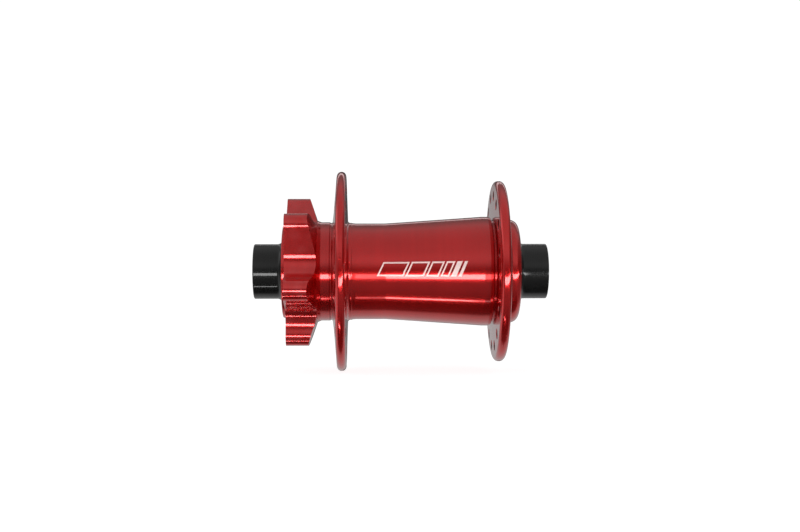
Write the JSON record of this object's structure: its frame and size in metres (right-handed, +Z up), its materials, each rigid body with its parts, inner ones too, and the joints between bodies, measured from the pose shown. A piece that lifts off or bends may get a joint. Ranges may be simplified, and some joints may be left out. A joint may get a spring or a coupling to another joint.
{
  "type": "bicycle front hub",
  "caption": "Front wheel hub for a thru axle and disc brake: a flanged aluminium shell turning on sealed ball bearings, with pull-off end caps.",
  "frame": {"origin": "on the spin axis, midway between the two end faces of the end caps", "axes": "+Y along the spin axis towards the rotor (left) side, +Z up, +X towards the rear of the wheel"},
  "size_m": [0.075, 0.11, 0.075],
  "materials": {
    "shell_red": "gloss red anodised",
    "cap_black": "satin black anodised",
    "axle_metal": "turned, clear anodised",
    "bearing_steel": "ground",
    "ball_steel": "polished",
    "cage_plastic": "moulded",
    "bearing_seal_rubber": "matte",
    "ring_rubber": "matte",
    "lip_seal_rubber": "matte"
  },
  "bodies": {
    "axle": {"axle": "axle_metal", "bearing_inner_race_left": "bearing_steel", "bearing_inner_race_right": "bearing_steel"},
    "shell": {"hub_shell": "shell_red", "bearing_outer_race_left": "bearing_steel", "bearing_outer_race_right": "bearing_steel", "bearing_outer_seal_left": "bearing_seal_rubber", "bearing_inner_seal_left": "bearing_seal_rubber", "bearing_outer_seal_right": "bearing_seal_rubber", "bearing_inner_seal_right": "bearing_seal_rubber", "dust_seal_left": "lip_seal_rubber", "dust_seal_right": "lip_seal_rubber"},
    "ball_set_left": {"bearing_balls_left": "ball_steel", "bearing_cage_left": "cage_plastic"},
    "ball_set_right": {"bearing_balls_right": "ball_steel", "bearing_cage_right": "cage_plastic"},
    "cap_left": {"end_cap_left": "cap_black", "end_cap_o_ring_left": "ring_rubber"},
    "cap_right": {"end_cap_right": "cap_black", "end_cap_o_ring_right": "ring_rubber"}
  },
  "joints": [
    {"name": "shell_spin", "type": "hinge", "parent": "axle", "child": "shell", "pos_m": [0, 0, 0], "axis": [0, 1, 0], "continuous": true},
    {"name": "ball_set_left_spin", "type": "hinge", "parent": "axle", "child": "ball_set_left", "pos_m": [0, 0.0383, 0], "axis": [0, 1, 0], "continuous": true},
    {"name": "ball_set_right_spin", "type": "hinge", "parent": "axle", "child": "ball_set_right", "pos_m": [0, -0.0384, 0], "axis": [0, 1, 0], "continuous": true},
    {"name": "cap_left_pull", "type": "slide", "parent": "axle", "child": "cap_left", "axis": [0, 1, 0], "range_m": [0, 0.012]},
    {"name": "cap_right_pull", "type": "slide", "parent": "axle", "child": "cap_right", "axis": [0, -1, 0], "range_m": [0, 0.012]}
  ],
  "couplings": [
    {"joint": "ball_set_left_spin", "follows": "shell_spin", "ratio": 0.56731},
    {"joint": "ball_set_right_spin", "follows": "shell_spin", "ratio": 0.56731}
  ]
}
